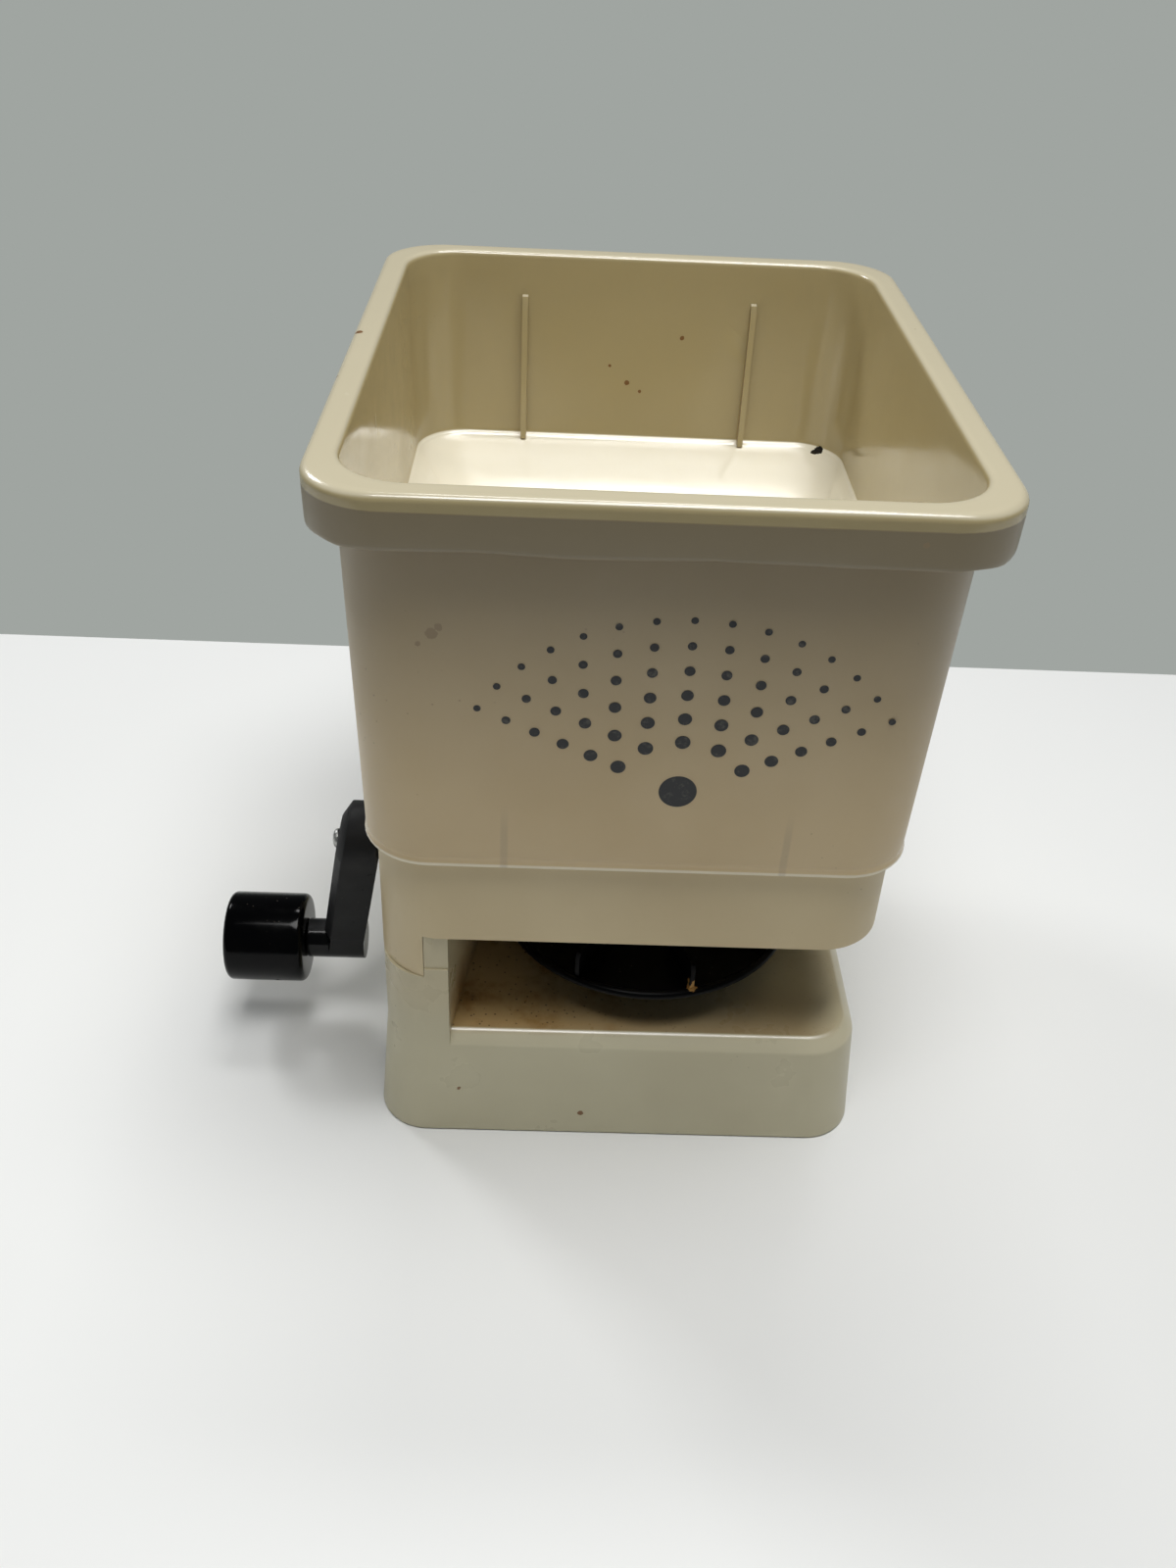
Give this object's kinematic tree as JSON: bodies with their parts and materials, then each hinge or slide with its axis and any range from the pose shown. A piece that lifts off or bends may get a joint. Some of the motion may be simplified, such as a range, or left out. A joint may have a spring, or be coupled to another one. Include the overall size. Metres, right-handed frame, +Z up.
{
  "type": "handheld salt spreader",
  "caption": "Hand-cranked granule spreader: open hopper on a gear housing, spinning finned disc in a slotted base, rear grip with a sprung gate trigger.",
  "frame": {"origin": "on the table plane, below the middle of the hopper, on the underside of the bottom plate", "axes": "+Z up out of the hopper's mouth; -Y is the discharge side, +Y the grip side; the crank is on the -X side"},
  "size_m": [0.2225, 0.214, 0.229],
  "materials": {
    "cream_plastic": "aged cream moulded plastic, satin outside, glossier inside",
    "base_plastic": "aged greyish cream moulded plastic with stains",
    "black_plastic": "black moulded plastic, satin",
    "natural_plastic": "natural acetal",
    "steel": "plain turned steel",
    "zinc_screw": "zinc-plated steel"
  },
  "bodies": {
    "frame": {"hopper": "cream_plastic", "gear_housing": "cream_plastic", "base": "base_plastic", "bottom_plate": "base_plastic", "gear_cover": "base_plastic", "grip_left": "black_plastic", "grip_right": "black_plastic", "crank_bush": "natural_plastic", "shaft_bush": "natural_plastic", "lower_bearing": "natural_plastic", "upper_bearing": "natural_plastic", "trigger_pin": "steel", "trigger_spring": "steel", "grip_screw_1": "zinc_screw", "grip_screw_2": "zinc_screw", "hopper_screw_1": "zinc_screw", "hopper_screw_2": "zinc_screw", "hopper_screw_3": "zinc_screw", "hopper_screw_4": "zinc_screw", "base_screw_1": "zinc_screw", "base_screw_2": "zinc_screw", "base_screw_3": "zinc_screw", "cover_screw_1": "zinc_screw", "cover_screw_2": "zinc_screw", "cover_screw_3": "zinc_screw", "plate_screw_1": "zinc_screw", "plate_screw_2": "zinc_screw", "plate_screw_3": "zinc_screw", "plate_screw_4": "zinc_screw", "grip_top_screw_1": "zinc_screw", "grip_top_screw_2": "zinc_screw", "grip_low_screw_1": "zinc_screw", "grip_low_screw_2": "zinc_screw"},
    "crank": {"crank_arm": "black_plastic", "crank_screw": "zinc_screw", "crank_shaft": "steel", "crown_wheel": "natural_plastic", "knob_screw": "zinc_screw"},
    "knob": {"crank_knob": "black_plastic"},
    "impeller_set": {"impeller": "black_plastic", "impeller_screw": "zinc_screw", "impeller_shaft": "steel", "pinion": "natural_plastic", "agitator": "black_plastic"},
    "trigger_lever": {"trigger": "black_plastic"},
    "gate": {"gate_plate": "black_plastic"}
  },
  "joints": [
    {"name": "crank_turn", "type": "hinge", "parent": "frame", "child": "crank", "pos_m": [0, -0.043, 0.078], "axis": [1, 0, 0], "continuous": true},
    {"name": "knob_spin", "type": "hinge", "parent": "crank", "child": "knob", "pos_m": [-0.12, -0.043, 0.0337], "axis": [1, 0, 0], "continuous": true},
    {"name": "impeller_spin", "type": "hinge", "parent": "frame", "child": "impeller_set", "pos_m": [0.0078, -0.043, 0.057], "axis": [0, 0, 1], "continuous": true},
    {"name": "trigger_pull", "type": "hinge", "parent": "frame", "child": "trigger_lever", "pos_m": [0, 0.072, 0.09], "axis": [1, 0, 0], "range_deg": [0, 20], "stiffness_Nm_per_rad": 0.35, "springref_deg": -11.46},
    {"name": "gate_slide", "type": "slide", "parent": "frame", "child": "gate", "axis": [0, -1, 0], "range_m": [0, 0.0085]}
  ],
  "couplings": [
    {"joint": "impeller_spin", "follows": "crank_turn", "ratio": -2.4},
    {"joint": "gate_slide", "follows": "trigger_pull", "m_per_rad": 0.0242}
  ]
}
